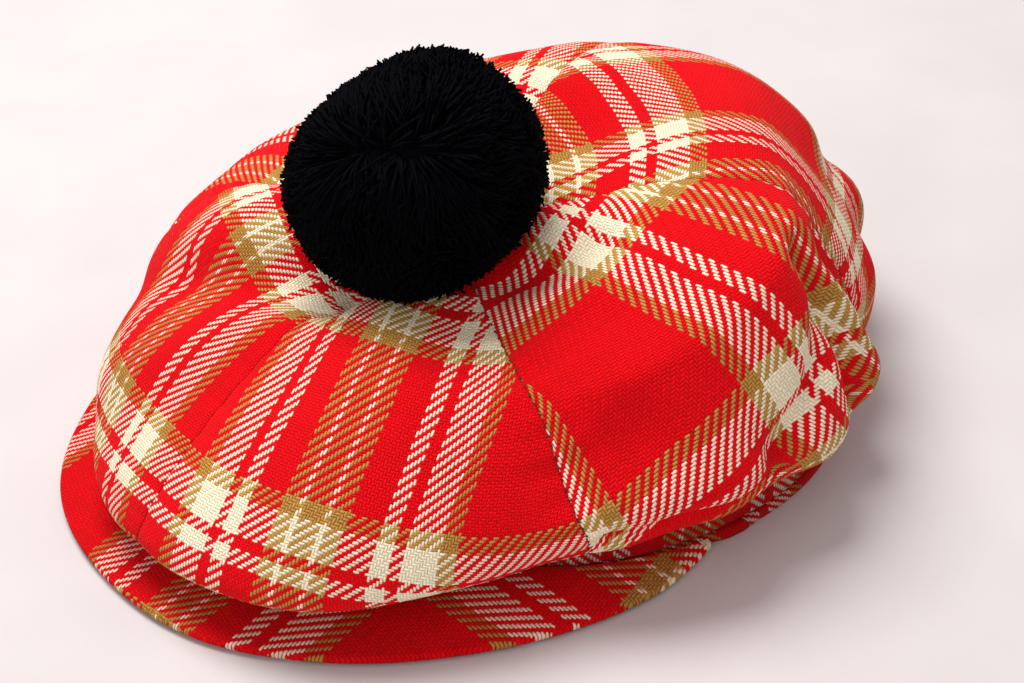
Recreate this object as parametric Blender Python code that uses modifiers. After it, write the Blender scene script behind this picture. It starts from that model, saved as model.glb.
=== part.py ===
# Flat cap: a puffy six-panel tartan crown on a headband, with a crescent peak and a yarn pompom.
# Metres, +Z up. The peak points along -Y. The origin is the centre of the head opening,
# on the plane of the surface that the cap rests on. Azimuths run from the front towards +X.

from math import cos, degrees, exp, pi, radians, sin, sqrt

import bmesh
import bpy
from mathutils import Vector

# Driving sizes
HEAD_RADIUS = 0.0920        # head opening, inside the band, at the front
BAND_WALL = 0.0030          # folded band cloth
BAND_TOP = 0.0240           # upper edge of the band
STRIP_HEIGHT = 0.0040       # narrow strip that binds the lower edge of the band
STRIP_PROUD = 0.0006        # how far the strip stands out past the band
LAP_STEP = 0.0012           # extra cloth where the end of the strip laps over its start
LAP_LENGTH = 0.0140         # length of that lap along the strip
LAP_AZIMUTH = 91.0          # where the lap starts
LAP_EDGE = 0.2              # half the slope at its start, in degrees
LAP_TAPER = 1.6             # the lap has run out at this many of its lengths
CLOTH = 0.0020              # wall of a crown panel
CROWN_OVERHANG = 0.0570     # how far the crown reaches past the head opening at its fullest
CROWN_TOP = 0.1050          # highest part of the crown cloth
APEX_DROP = 0.0250          # the point where the panels meet lies this far below it
APEX_FORWARD = 0.0310       # that point lies this far in front of the head's centre
APEX_HOLE = 0.0050          # bare ring at that point, under the pompom
CROWN_TWIST = -3.0          # the crown sits turned this far on the band
SEAM_DIP = 0.0012           # panels sink this far at their seams
SEAM_SOFTNESS = 0.0080      # width of that sinking
SEAM_GAP = 0.0005           # between the edges of two panels
SEAT_LAND = 0.0030          # flat edge of the panels where they meet the band
GATHER_DEPTH = 0.0022       # ripple where the crown is gathered to the band
GATHER_COUNT = 18           # ripples round the whole crown
GATHER_START = 0.45         # meridian share where the ripples start
GATHER_RUN = 0.30           # and how much further they reach their depth
SEAT_FADE = 0.10            # share over which everything fades out above the band
PEAK_LENGTH = 0.0665        # peak, from the head opening to its front edge
PEAK_WALL = 0.0030          # covered board
PEAK_SPREAD = 88.0          # azimuth of the peak's tips
PEAK_RISE = 0.0064          # how far the peak rises to the band at the front
PEAK_EDGE = 0.0036          # top of the peak at its outer edge
PEAK_ARCH = 1.4             # how late the peak falls to its edge
POMPOM_RADIUS = 0.0390
POMPOM_STAND = 0.0290       # from the apex to the pompom's centre
POMPOM_LEAN = 34.0          # how far the pompom leans from upright
POMPOM_LEAN_AZIMUTH = 20.0  # and towards where
LOCK_COUNT = 64
LOCK_WIDTH = 0.0190         # a lock of yarn at its root
LOCK_TIP = 0.56             # its width at the tip, as a share of LOCK_WIDTH
LOCK_ROOT = 0.74            # where it leaves the ball, as a share of the radius
LOCK_VARIETY = 0.035        # how much longer or shorter than its neighbours
HEAD_SHARE = 0.91           # the ball under the locks, as a share of the radius
FLAT_SIDE = 0.16            # how far one side of the pompom is pressed in
FLAT_WIDTH = 0.75           # and how wide, in radians
FLAT_WAY = (-0.72, -0.18, 0.67)
GAP = 0.0003                # between pieces that touch
PRESS_GAP = 0.0007          # between the crown and the pompom pressed onto it

# Sizes that follow
BAND_BOTTOM = STRIP_HEIGHT + GAP
SEAT_LOW = PEAK_EDGE + PEAK_RISE + GAP
SEAT_HIGH = BAND_TOP - CLOTH
CROWN_DEPTH = CROWN_TOP - SEAT_HIGH
APEX = Vector((0.0, -APEX_FORWARD, CROWN_TOP - APEX_DROP))

# Head opening, a soft oval that is fuller at the back right: reach as a share of HEAD_RADIUS.
HEAD_COLUMNS = ("azimuth", "reach")
HEAD_ROWS = (
    (0.0, 1.00),
    (45.0, 0.995),
    (90.0, 1.005),
    (120.0, 1.06),
    (150.0, 1.08),
    (180.0, 1.06),
    (225.0, 1.03),
    (270.0, 1.00),
    (315.0, 0.995),
)

# Crown sections, one row for each azimuth. rim_out is a share of CROWN_OVERHANG, shoulder_out of
# the rim's radius, seat of the band between the peak's root and the band's top, and rim_up and
# shoulder_up of CROWN_DEPTH above the seat.
CROWN_COLUMNS = ("azimuth", "rim_out", "rim_up", "shoulder_out", "shoulder_up", "seat")
CROWN_ROWS = (
    (0.0, 1.00, 0.07, 0.40, 0.70, 0.12),
    (30.0, 0.96, 0.10, 0.47, 0.76, 0.18),
    (60.0, 0.45, 0.21, 0.64, 0.65, 0.45),
    (90.0, 0.41, 0.20, 0.75, 0.69, 0.80),
    (120.0, 0.42, 0.18, 0.81, 0.89, 0.95),
    (150.0, 0.33, 0.29, 0.72, 0.96, 0.95),
    (180.0, 0.59, 0.28, 0.69, 0.98, 0.90),
    (210.0, 0.57, 0.29, 0.57, 0.96, 0.85),
    (240.0, 0.47, 0.29, 0.51, 0.87, 0.78),
    (270.0, 0.47, 0.27, 0.49, 0.78, 0.68),
    (300.0, 0.49, 0.27, 0.53, 0.76, 0.50),
    (330.0, 0.60, 0.20, 0.56, 0.83, 0.28),
)

# Panels, anticlockwise from above, each from its own seam to the next one.
# Columns: name, azimuth of the first seam.
PANEL_ROWS = (
    ("front_right", 8.0),
    ("right", 66.0),
    ("back_right", 138.0),
    ("back_left", 210.0),
    ("left", 262.0),
    ("front_left", 315.0),
)

# Dents and ridges: lines on the crown from one azimuth and meridian share (0 apex, 1 band) to
# another. half_width is a share of HEAD_RADIUS and depth of CROWN_DEPTH; a ridge has a negative depth.
# Columns: name, azimuth, share, to azimuth, to share, half width, depth.
FOLD_ROWS = (
    ("front left tuck", 2.0, 0.23, -22.0, 0.50, 0.110, 0.065),
    ("end of that tuck", -22.0, 0.50, -40.0, 0.75, 0.090, 0.020),
    ("front left tuck lip", 5.0, 0.35, -28.0, 0.80, 0.120, -0.035),
    ("notch at the front seam", 6.0, 0.20, 7.0, 0.30, 0.090, 0.055),
    ("right tuck", 84.0, 0.11, 112.0, 0.15, 0.085, 0.060),
    ("right tuck lip", 82.0, 0.18, 108.0, 0.22, 0.095, -0.025),
    ("dent at the side seam", 66.0, 0.58, 79.0, 0.52, 0.150, 0.045),
    ("tuck under the right rim", 70.0, 0.80, 98.0, 0.80, 0.060, 0.070),
    ("right rim above that tuck", 76.0, 0.70, 94.0, 0.70, 0.090, -0.020),
    ("low crumple on the right", 100.0, 0.68, 120.0, 0.54, 0.075, 0.060),
    ("crumple at the back seam", 121.0, 0.78, 124.0, 0.45, 0.070, 0.080),
    ("crumple behind the seam", 136.0, 0.80, 133.0, 0.52, 0.080, 0.070),
    ("slack at the back", 165.0, 0.60, 200.0, 0.66, 0.110, 0.050),
    ("slack on the left", 232.0, 0.62, 262.0, 0.70, 0.110, 0.045),
    ("soft hollow on top", 150.0, 0.14, 215.0, 0.16, 0.200, 0.040),
)

# Peak outline on one side: reach past the head opening as a share of PEAK_LENGTH.
# Columns: azimuth, reach.
PEAK_ROWS = (
    (0.0, 1.00),
    (15.0, 0.96),
    (30.0, 0.785),
    (45.0, 0.58),
    (60.0, 0.405),
    (75.0, 0.255),
    (88.0, 0.095),
)

# Mesh fineness
TOP_STEPS = 5               # rows from the apex to the shoulder
SIDE_STEPS = 7              # from the shoulder to the rim
UNDER_STEPS = 4             # from the rim to the band
PANEL_STEPS = 12            # columns across a panel
RING_STEPS = 72             # segments round the band and the strip
PEAK_STEPS = 16             # columns across half the peak
PEAK_RINGS = 5
FOLD_SAMPLES = 9
LAND_SHARE = 1.0 - 1.0 / (TOP_STEPS + SIDE_STEPS + UNDER_STEPS)
SIDE_ROUNDNESS = 0.72       # exponent half: 0.5 is an ellipse, 1 a straight slope
CENTRE_SHARE = 0.80         # the rings are centred on the head from this meridian share
PRESS_ROWS = TOP_STEPS + 4  # rows of the crown that the pompom is pressed onto
CLOTH_ANGLE = 60.0          # sharper edges than this stay sharp on the cloth
BAND_ANGLE = 40.0           # and on the band
LOCK_SIDES = 6
LOCK_TURN = 2.7             # spreads the longer and shorter locks
BALL_SEGMENTS = 20
BALL_RINGS = 12

CLOTH_RED = (0.62, 0.012, 0.020, 1.0)
BAND_RED = (0.30, 0.008, 0.016, 1.0)
PEAK_RED = (0.46, 0.010, 0.022, 1.0)
YARN_BLACK = (0.010, 0.010, 0.014, 1.0)


def clear_scene():
    for item in list(bpy.data.objects):
        bpy.data.objects.remove(item, do_unlink=True)


def new_collection(name):
    collection = bpy.data.collections.new(name)
    bpy.context.scene.collection.children.link(collection)
    return collection


def cloth_material(name, colour, roughness):
    material = bpy.data.materials.new(name)
    material.use_nodes = True
    shader = material.node_tree.nodes["Principled BSDF"]
    shader.inputs["Base Color"].default_value = colour
    shader.inputs["Roughness"].default_value = roughness
    shader.inputs["Metallic"].default_value = 0.0
    return material


def add_object(name, mesh, collection, material=None):
    item = bpy.data.objects.new(name, mesh)
    collection.objects.link(item)
    if material:
        mesh.materials.append(material)
    return item


def read_column(rows, columns, name, azimuth, period=360.0):
    """Smooth closed curve through one column of a table, read at an azimuth."""
    at = columns.index(name)
    count = len(rows)
    angle = azimuth % period
    before = max(i for i in range(count) if rows[i][0] <= angle)
    after = (before + 1) % count
    start = rows[before][0]
    span = (rows[after][0] - start) % period
    t = (angle - start) / span
    a = rows[before - 1][at]
    b = rows[before][at]
    c = rows[after][at]
    d = rows[(after + 1) % count][at]
    return 0.5 * (2 * b + (c - a) * t + (2 * a - 5 * b + 4 * c - d) * t * t
                  + (3 * b - a - 3 * c + d) * t ** 3)


def head_radius(azimuth):
    return HEAD_RADIUS * read_column(HEAD_ROWS, HEAD_COLUMNS, "reach", azimuth)


def band_outer(azimuth):
    return head_radius(azimuth) + BAND_WALL


def crown_column(name, azimuth):
    return read_column(CROWN_ROWS, CROWN_COLUMNS, name, azimuth)


def meridian_share(row):
    return row / (TOP_STEPS + SIDE_STEPS + UNDER_STEPS)


def plain_crown_point(azimuth, share):
    """Point of the crown before its seams, folds and gathers."""
    seat = SEAT_LOW + (SEAT_HIGH - SEAT_LOW) * crown_column("seat", azimuth)
    rim = HEAD_RADIUS + CROWN_OVERHANG * crown_column("rim_out", azimuth)
    inner_edge = band_outer(azimuth + CROWN_TWIST) + GAP
    land = inner_edge + SEAT_LAND
    rim_height = seat + CROWN_DEPTH * crown_column("rim_up", azimuth)
    shoulder = rim * crown_column("shoulder_out", azimuth)
    shoulder_height = seat + CROWN_DEPTH * crown_column("shoulder_up", azimuth)
    top_end = meridian_share(TOP_STEPS)
    side_end = meridian_share(TOP_STEPS + SIDE_STEPS)
    if share <= top_end:
        t = share / top_end
        radius = APEX_HOLE + (shoulder - APEX_HOLE) * t
        height = APEX.z + (shoulder_height - APEX.z) * sin(t * pi / 2)
    elif share <= side_end:
        t = (share - top_end) / (side_end - top_end) * pi / 2
        radius = shoulder + (rim - shoulder) * sin(t) ** (2 * SIDE_ROUNDNESS)
        height = rim_height + (shoulder_height - rim_height) * cos(t) ** (2 * SIDE_ROUNDNESS)
    elif share <= LAND_SHARE:
        t = (share - side_end) / (LAND_SHARE - side_end) * pi / 2
        radius = land + (rim - land) * cos(t)
        height = seat + (rim_height - seat) * (1.0 - sin(t))
    else:
        t = (share - LAND_SHARE) / (1.0 - LAND_SHARE)
        radius = land - SEAT_LAND * t
        height = seat
    drift = max(0.0, 1.0 - share / CENTRE_SHARE)
    angle = radians(azimuth + CROWN_TWIST)
    return Vector((radius * sin(angle) + APEX.x * drift,
                   -radius * cos(angle) + APEX.y * drift,
                   height))


def crown_normal(azimuth, share):
    step = 0.01
    low = max(share - step, 0.0)
    high = min(share + step, 1.0)
    along = plain_crown_point(azimuth, high) - plain_crown_point(azimuth, low)
    across = plain_crown_point(azimuth + 1.0, share) - plain_crown_point(azimuth - 1.0, share)
    return across.cross(along).normalized() * -1.0


def distance_to_line(point, line):
    nearest = (point - line[0]).length
    for start, end in zip(line, line[1:]):
        run = end - start
        t = max(0.0, min(1.0, (point - start).dot(run) / run.length_squared))
        nearest = min(nearest, (point - start - run * t).length)
    return nearest


def fold_lines():
    """Each fold as points on the plain crown, with its width and depth."""
    lines = []
    for name, azimuth, share, to_azimuth, to_share, half_width, depth in FOLD_ROWS:
        line = []
        for i in range(FOLD_SAMPLES):
            t = i / (FOLD_SAMPLES - 1)
            line.append(plain_crown_point(azimuth + (to_azimuth - azimuth) * t,
                                          share + (to_share - share) * t))
        lines.append((line, half_width * HEAD_RADIUS, depth * CROWN_DEPTH))
    return lines


def seat_fade(share):
    """One on the open crown, falling to nothing where the panels lie on the band."""
    return max(0.0, min(1.0, (LAND_SHARE - share) / SEAT_FADE))


def gather_depth(azimuth, share):
    """Ripples near the band: strong at the back, faint at the front, gone at the very edge."""
    back = 0.5 - 0.5 * cos(radians(azimuth))
    low = max(0.0, min(1.0, (share - GATHER_START) / GATHER_RUN))
    edge = seat_fade(share)
    return GATHER_DEPTH * back * low * edge * cos(radians(azimuth) * GATHER_COUNT)


def crown_point(azimuth, share, seam_distance, folds):
    """Point of the crown's outer face, and its outward direction."""
    point = plain_crown_point(azimuth, share)
    normal = crown_normal(azimuth, share)
    sink = gather_depth(azimuth, share)
    fade = seat_fade(share)
    sink += SEAM_DIP * exp(-(seam_distance / SEAM_SOFTNESS) ** 2) * fade
    for line, half_width, depth in folds:
        sink += depth * exp(-(distance_to_line(point, line) / half_width) ** 2) * fade
    return point - normal * sink, normal


def panel_grid(index, folds, lift=0.0):
    """Rows of points of one panel's outer face, from the apex to the band. A lift moves them
    along the crown's own outward direction, which the panels on both sides of a seam share."""
    seam = PANEL_ROWS[index][1]
    end = PANEL_ROWS[(index + 1) % len(PANEL_ROWS)][1]
    width = (end - seam) % 360.0
    rows = []
    for row in range(TOP_STEPS + SIDE_STEPS + UNDER_STEPS + 1):
        share = meridian_share(row)
        middle = plain_crown_point(seam + width / 2, share)
        drift = max(0.0, 1.0 - share / CENTRE_SHARE)
        reach = (middle.xy - APEX.xy * drift).length
        inset = degrees(SEAM_GAP / 2 / reach)
        line = []
        for column in range(PANEL_STEPS + 1):
            azimuth = seam + inset + (width - 2 * inset) * column / PANEL_STEPS
            to_seam = min(azimuth - seam, seam + width - azimuth)
            point, normal = crown_point(azimuth, share, radians(to_seam) * reach, folds)
            line.append(point + normal * lift)
        rows.append(line)
    return rows


def walled_mesh(name, outer_rows, inner_rows):
    """Closed wall between two matching grids of points."""
    width = len(outer_rows[0])
    form = bmesh.new()
    outer = [[form.verts.new(point) for point in row] for row in outer_rows]
    inner = [[form.verts.new(point) for point in row] for row in inner_rows]
    for i in range(len(outer) - 1):
        for j in range(width - 1):
            form.faces.new((outer[i][j], outer[i + 1][j], outer[i + 1][j + 1], outer[i][j + 1]))
            form.faces.new((inner[i][j], inner[i][j + 1], inner[i + 1][j + 1], inner[i + 1][j]))
    border = [(i, 0) for i in range(len(outer) - 1)]
    border += [(len(outer) - 1, j) for j in range(width - 1)]
    border += [(i, width - 1) for i in range(len(outer) - 1, 0, -1)]
    border += [(0, j) for j in range(width - 1, 0, -1)]
    for (i, j), (k, m) in zip(border, border[1:] + border[:1]):
        form.faces.new((outer[i][j], inner[i][j], inner[k][m], outer[k][m]))
    bmesh.ops.recalc_face_normals(form, faces=form.faces)
    mesh = bpy.data.meshes.new(name)
    form.to_mesh(mesh)
    form.free()
    mesh.shade_smooth()
    mesh.set_sharp_from_angle(angle=radians(CLOTH_ANGLE))
    return mesh


def sheet_mesh(name, rows):
    """Open sheet through rows of points, its faces turned to the outside."""
    width = len(rows[0])
    points = [point for row in rows for point in row]
    faces = []
    for i in range(len(rows) - 1):
        for j in range(width - 1):
            corner = i * width + j
            faces.append((corner, corner + width, corner + width + 1, corner + 1))
    mesh = bpy.data.meshes.new(name)
    mesh.from_pydata(points, [], faces)
    mesh.shade_smooth()
    return mesh


def add_wall(item, thickness, offset):
    wall = item.modifiers.new("Wall", "SOLIDIFY")
    wall.thickness = thickness
    wall.offset = offset
    wall.use_even_offset = False
    return wall


def build_crown(parts, folds):
    material = cloth_material("tartan wool", CLOTH_RED, 0.95)
    for index, (name, _) in enumerate(PANEL_ROWS):
        outer = panel_grid(index, folds)
        inner = panel_grid(index, folds, lift=-CLOTH)
        mesh = walled_mesh("crown_panel_" + name, outer, inner)
        add_object("crown_panel_" + name, mesh, parts, material)


def ring_mesh(name, outline, bottom, top):
    """Closed ring with a flat bottom; the outline holds azimuths with inner and outer radii."""
    form = bmesh.new()
    loops = []
    for azimuth, inner, outer in outline:
        angle = radians(azimuth)
        way = Vector((sin(angle), -cos(angle), 0.0))
        corners = ((inner, bottom), (outer, bottom), (outer, top), (inner, top))
        loops.append([form.verts.new(way * radius + Vector((0, 0, height))) for radius, height in corners])
    for here, there in zip(loops, loops[1:] + loops[:1]):
        for corner in range(4):
            follow = (corner + 1) % 4
            form.faces.new((here[corner], there[corner], there[follow], here[follow]))
    bmesh.ops.recalc_face_normals(form, faces=form.faces)
    mesh = bpy.data.meshes.new(name)
    form.to_mesh(mesh)
    form.free()
    mesh.shade_smooth()
    mesh.set_sharp_from_angle(angle=radians(BAND_ANGLE))
    return mesh


def strip_outline():
    """Outline of the strip, with a sharp step where its end laps over its start."""
    lap = degrees(LAP_LENGTH / band_outer(LAP_AZIMUTH))
    start = LAP_AZIMUTH + lap * LAP_TAPER
    rest = LAP_AZIMUTH - LAP_EDGE + 360.0 - start
    stations = [(LAP_AZIMUTH - LAP_EDGE, 0.0)]
    stations += [(LAP_AZIMUTH + LAP_EDGE, LAP_STEP), (LAP_AZIMUTH + lap, LAP_STEP)]
    stations += [(start + rest * i / RING_STEPS, 0.0) for i in range(RING_STEPS)]
    return [(azimuth, head_radius(azimuth), band_outer(azimuth) + STRIP_PROUD + step)
            for azimuth, step in stations]


def build_band(parts):
    material = cloth_material("band cloth", BAND_RED, 0.95)
    azimuths = [360.0 * i / RING_STEPS for i in range(RING_STEPS)]
    outline = [(azimuth, head_radius(azimuth), band_outer(azimuth)) for azimuth in azimuths]
    mesh = ring_mesh("headband", outline, BAND_BOTTOM, BAND_TOP)
    add_object("headband", mesh, parts, material)
    mesh = ring_mesh("band_strip", strip_outline(), 0.0, STRIP_HEIGHT)
    add_object("band_strip", mesh, parts, cloth_material("strip cloth", BAND_RED, 0.95))


def peak_reach(azimuth):
    """Smooth outline through the rows of one side, mirrored at the front."""
    rows = [(-PEAK_ROWS[1][0], PEAK_ROWS[1][1])] + list(PEAK_ROWS)
    last = rows[-1]
    rows.append((last[0] + 15.0, last[1] - (rows[-2][1] - last[1])))
    before = max(i for i in range(1, len(rows) - 2) if rows[i][0] <= azimuth)
    t = (azimuth - rows[before][0]) / (rows[before + 1][0] - rows[before][0])
    a, b, c, d = (rows[before + k][1] for k in (-1, 0, 1, 2))
    share = 0.5 * (2 * b + (c - a) * t + (2 * a - 5 * b + 4 * c - d) * t * t
                   + (3 * b - a - 3 * c + d) * t ** 3)
    return HEAD_RADIUS + PEAK_LENGTH * share


def build_peak(parts):
    """Half of the top face as an open sheet, mirrored and given its wall."""
    longest = PEAK_LENGTH - BAND_WALL - STRIP_PROUD
    rows = []
    for ring in range(PEAK_RINGS + 1):
        t = ring / PEAK_RINGS
        line = []
        for step in range(PEAK_STEPS + 1):
            azimuth = PEAK_SPREAD * step / PEAK_STEPS
            angle = radians(azimuth)
            inner = max(band_outer(azimuth), band_outer(-azimuth)) + STRIP_PROUD + 2 * GAP
            outer = max(peak_reach(azimuth), inner + GAP)
            rise = PEAK_RISE * (outer - inner) / longest
            radius = inner + (outer - inner) * t
            height = PEAK_EDGE + rise * (1.0 - t ** PEAK_ARCH)
            line.append(Vector((radius * sin(angle), -radius * cos(angle), height)))
        rows.append(line)
    mesh = sheet_mesh("peak", rows)
    for ring in range(PEAK_RINGS + 1):
        mesh.vertices[ring * (PEAK_STEPS + 1)].co.x = 0.0
    peak = add_object("peak", mesh, parts, cloth_material("peak cloth", PEAK_RED, 0.95))
    mirror = peak.modifiers.new("Other side", "MIRROR")
    mirror.use_axis = (True, False, False)
    mirror.merge_threshold = 0.0001
    add_wall(peak, PEAK_WALL, -1.0)


def sphere_directions(count):
    """Evenly spread directions."""
    golden = pi * (3.0 - sqrt(5.0))
    for i in range(count):
        z = 1.0 - 2.0 * (i + 0.5) / count
        ring = sqrt(1.0 - z * z)
        yield Vector((ring * cos(i * golden), ring * sin(i * golden), z))


def pompom_reach(way):
    """Radius of the pompom towards a direction: a ball pressed in on its left upper side."""
    angle = way.angle(Vector(FLAT_WAY))
    return POMPOM_RADIUS * (1.0 - FLAT_SIDE * exp(-(angle / FLAT_WIDTH) ** 2))


def lock_mesh(index, way):
    """One lock of yarn: a blunt tapered tuft, a little longer or shorter than its neighbours."""
    length = pompom_reach(way) * (1.0 + LOCK_VARIETY * sin(index * LOCK_TURN))
    root = pompom_reach(way) * LOCK_ROOT
    form = bmesh.new()
    bmesh.ops.create_cone(form, cap_ends=True, cap_tris=False, segments=LOCK_SIDES,
                          radius1=LOCK_WIDTH / 2, radius2=LOCK_WIDTH / 2 * LOCK_TIP,
                          depth=length - root)
    bmesh.ops.translate(form, verts=form.verts, vec=(0, 0, (length + root) / 2))
    turn = Vector((0, 0, 1)).rotation_difference(way).to_matrix().to_4x4()
    bmesh.ops.transform(form, matrix=turn, verts=form.verts)
    mesh = bpy.data.meshes.new("lock")
    form.to_mesh(mesh)
    form.free()
    return mesh


def crown_cutter(folds, cutters):
    """Solid of the crown's top, lifted by the gap, that the pompom is pressed onto."""
    lifted = [panel_grid(index, folds, lift=PRESS_GAP) for index in range(len(PANEL_ROWS))]
    form = bmesh.new()
    rings = []
    for row in range(PRESS_ROWS + 1):
        rings.append([form.verts.new(point) for panel in lifted for point in panel[row]])
    count = len(rings[0])
    for low, high in zip(rings, rings[1:]):
        for i in range(count):
            j = (i + 1) % count
            form.faces.new((low[i], high[i], high[j], low[j]))
    form.faces.new(rings[0])
    base = [form.verts.new((vertex.co.x, vertex.co.y, BAND_TOP)) for vertex in rings[-1]]
    for i in range(count):
        j = (i + 1) % count
        form.faces.new((rings[-1][i], base[i], base[j], rings[-1][j]))
    form.faces.new(base)
    bmesh.ops.recalc_face_normals(form, faces=form.faces)
    mesh = bpy.data.meshes.new("crown_form")
    form.to_mesh(mesh)
    form.free()
    cutter = add_object("crown_form", mesh, cutters)
    cutter.hide_render = True
    cutter.display_type = "WIRE"
    return cutter


def build_pompom(parts, cutters, folds):
    lean = radians(POMPOM_LEAN)
    towards = radians(POMPOM_LEAN_AZIMUTH)
    way = Vector((sin(lean) * sin(towards), -sin(lean) * cos(towards), cos(lean)))
    centre = APEX + way * POMPOM_STAND
    form = bmesh.new()
    bmesh.ops.create_uvsphere(form, u_segments=BALL_SEGMENTS, v_segments=BALL_RINGS, radius=1.0)
    for vertex in form.verts:
        vertex.co *= pompom_reach(vertex.co) * HEAD_SHARE
    head = bpy.data.meshes.new("pompom")
    form.to_mesh(head)
    form.free()
    pompom = add_object("pompom", head, parts, cloth_material("black yarn", YARN_BLACK, 0.95))
    pompom.location = centre
    locks = bpy.data.collections.new("pompom locks")
    cutters.children.link(locks)
    for index, direction in enumerate(sphere_directions(LOCK_COUNT)):
        lock = add_object("lock_%02d" % index, lock_mesh(index, direction), locks)
        lock.location = centre
        lock.hide_render = True
        lock.display_type = "WIRE"
    fuse = pompom.modifiers.new("Fuse the locks", "BOOLEAN")
    fuse.operation = "UNION"
    fuse.operand_type = "COLLECTION"
    fuse.collection = locks
    press = pompom.modifiers.new("Press onto the crown", "BOOLEAN")
    press.operation = "DIFFERENCE"
    press.object = crown_cutter(folds, cutters)


def main():
    clear_scene()
    parts = new_collection("flat cap")
    cutters = new_collection("cutters")
    folds = fold_lines()
    build_crown(parts, folds)
    build_band(parts)
    build_peak(parts)
    build_pompom(parts, cutters, folds)


main()
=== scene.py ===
# %% [markdown]
# # A tartan flat cap with a yarn pompom
# The cap is six panels of twill wool, sewn side by side and gathered onto a headband, with a
# stiffened peak in front and a ball of black yarn on top. The CAD model already gives every
# solid its place, so each piece here is modelled again as cloth or yarn in that same place.

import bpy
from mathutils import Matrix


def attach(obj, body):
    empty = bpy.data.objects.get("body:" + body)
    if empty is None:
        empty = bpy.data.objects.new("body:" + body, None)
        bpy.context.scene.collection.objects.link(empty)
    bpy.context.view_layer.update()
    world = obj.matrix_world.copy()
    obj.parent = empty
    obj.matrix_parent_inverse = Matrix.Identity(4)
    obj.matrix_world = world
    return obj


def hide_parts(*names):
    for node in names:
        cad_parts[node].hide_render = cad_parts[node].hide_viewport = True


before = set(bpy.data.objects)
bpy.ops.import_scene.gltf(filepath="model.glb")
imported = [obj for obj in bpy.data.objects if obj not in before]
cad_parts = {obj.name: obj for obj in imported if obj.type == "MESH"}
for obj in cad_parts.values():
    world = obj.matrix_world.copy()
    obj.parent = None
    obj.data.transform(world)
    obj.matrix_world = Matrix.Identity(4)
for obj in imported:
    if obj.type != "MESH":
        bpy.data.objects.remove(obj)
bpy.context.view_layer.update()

# %% Tools of the lesson
from math import cos, pi, radians, sin

import bpy
import numpy as np
from mathutils import Vector, noise
from mathutils.bvhtree import BVHTree

MM = 0.001


def deselect_all():
    """Operators act on all that is selected, so every piece starts from nothing selected."""
    if bpy.context.object and bpy.context.object.mode != "OBJECT":
        bpy.ops.object.mode_set(mode="OBJECT")
    bpy.ops.object.select_all(action="DESELECT")


def select_only(piece):
    deselect_all()
    piece.select_set(True)
    bpy.context.view_layer.objects.active = piece


# %% [markdown]
# ## The camera
# The camera stands where the photographer stood: to the right of the peak, looking down. It is
# made first, so that every later step can be judged from the same place. Aiming it is easiest
# with `to_track_quat`, which turns a direction into a rotation.

# %% Camera
VIEW_AZIMUTH = radians(54.0)
VIEW_ELEVATION = radians(36.0)
VIEW_DISTANCE = 0.750
VIEW_TARGET = Vector((0.0322, -0.0298, 0.0510))
LENS_MM = 87.0
SENSOR_MM = 36.0

towards_camera = Vector((sin(VIEW_AZIMUTH) * cos(VIEW_ELEVATION),
                         -cos(VIEW_AZIMUTH) * cos(VIEW_ELEVATION),
                         sin(VIEW_ELEVATION)))
deselect_all()
bpy.ops.object.camera_add(location=VIEW_TARGET + towards_camera * VIEW_DISTANCE)
camera = bpy.context.object
camera.name = "camera"
camera.rotation_euler = (-towards_camera).to_track_quat("-Z", "Y").to_euler()
camera.data.lens = LENS_MM
camera.data.sensor_width = SENSOR_MM
camera.data.clip_start = 0.01
camera.data.clip_end = 20.0
bpy.context.scene.camera = camera
print("camera at", tuple(round(x, 3) for x in camera.location))

# %% [markdown]
# ## The form of the crown
# The crown is one puffy surface that six panels share. It could be sculpted, but then two
# neighbouring panels would not meet at their seam. Here it is a function instead: an azimuth
# round the cap and a share of the way from the middle of the top to the band give one point.
# The tables are the same as those of the solids, so the cloth lies where the solids lie.

# %% Sizes of the cap
HEAD_RADIUS = 0.0920
BAND_WALL = 0.0030
BAND_TOP = 0.0240
STRIP_HEIGHT = 0.0040
STRIP_PROUD = 0.0006
CLOTH = 0.0020
CROWN_OVERHANG = 0.0570
CROWN_TOP = 0.1050
APEX_FORWARD = 0.0310
APEX_HEIGHT = 0.0800
APEX_HOLE = 0.0050
CROWN_TWIST = -3.0
PEAK_LENGTH = 0.0665
PEAK_RISE = 0.0064
PEAK_EDGE = 0.0036
PEAK_WALL = 0.0030
GAP = 0.0003                # between pieces that touch
SEAT_LAND = 0.0030          # flat edge of the crown where it meets the band
SEAT_LOW = PEAK_EDGE + PEAK_RISE + GAP
SEAT_HIGH = BAND_TOP - CLOTH
CROWN_DEPTH = CROWN_TOP - SEAT_HIGH
TOP_END = 5 / 16            # share of the way down where the top turns over the shoulder
SIDE_END = 12 / 16          # where the side turns under at the rim
LAND_START = 15 / 16        # where that underside meets the band
SIDE_ROUNDNESS = 1.44
CENTRE_SHARE = 0.80         # the crown's middle has come back over the head at this share

# azimuth, reach of the head opening as a share of HEAD_RADIUS
HEAD_ROWS = (
    (0.0, 1.00),
    (45.0, 0.995),
    (90.0, 1.005),
    (120.0, 1.06),
    (150.0, 1.08),
    (180.0, 1.06),
    (225.0, 1.03),
    (270.0, 1.00),
    (315.0, 0.995),
)
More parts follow.
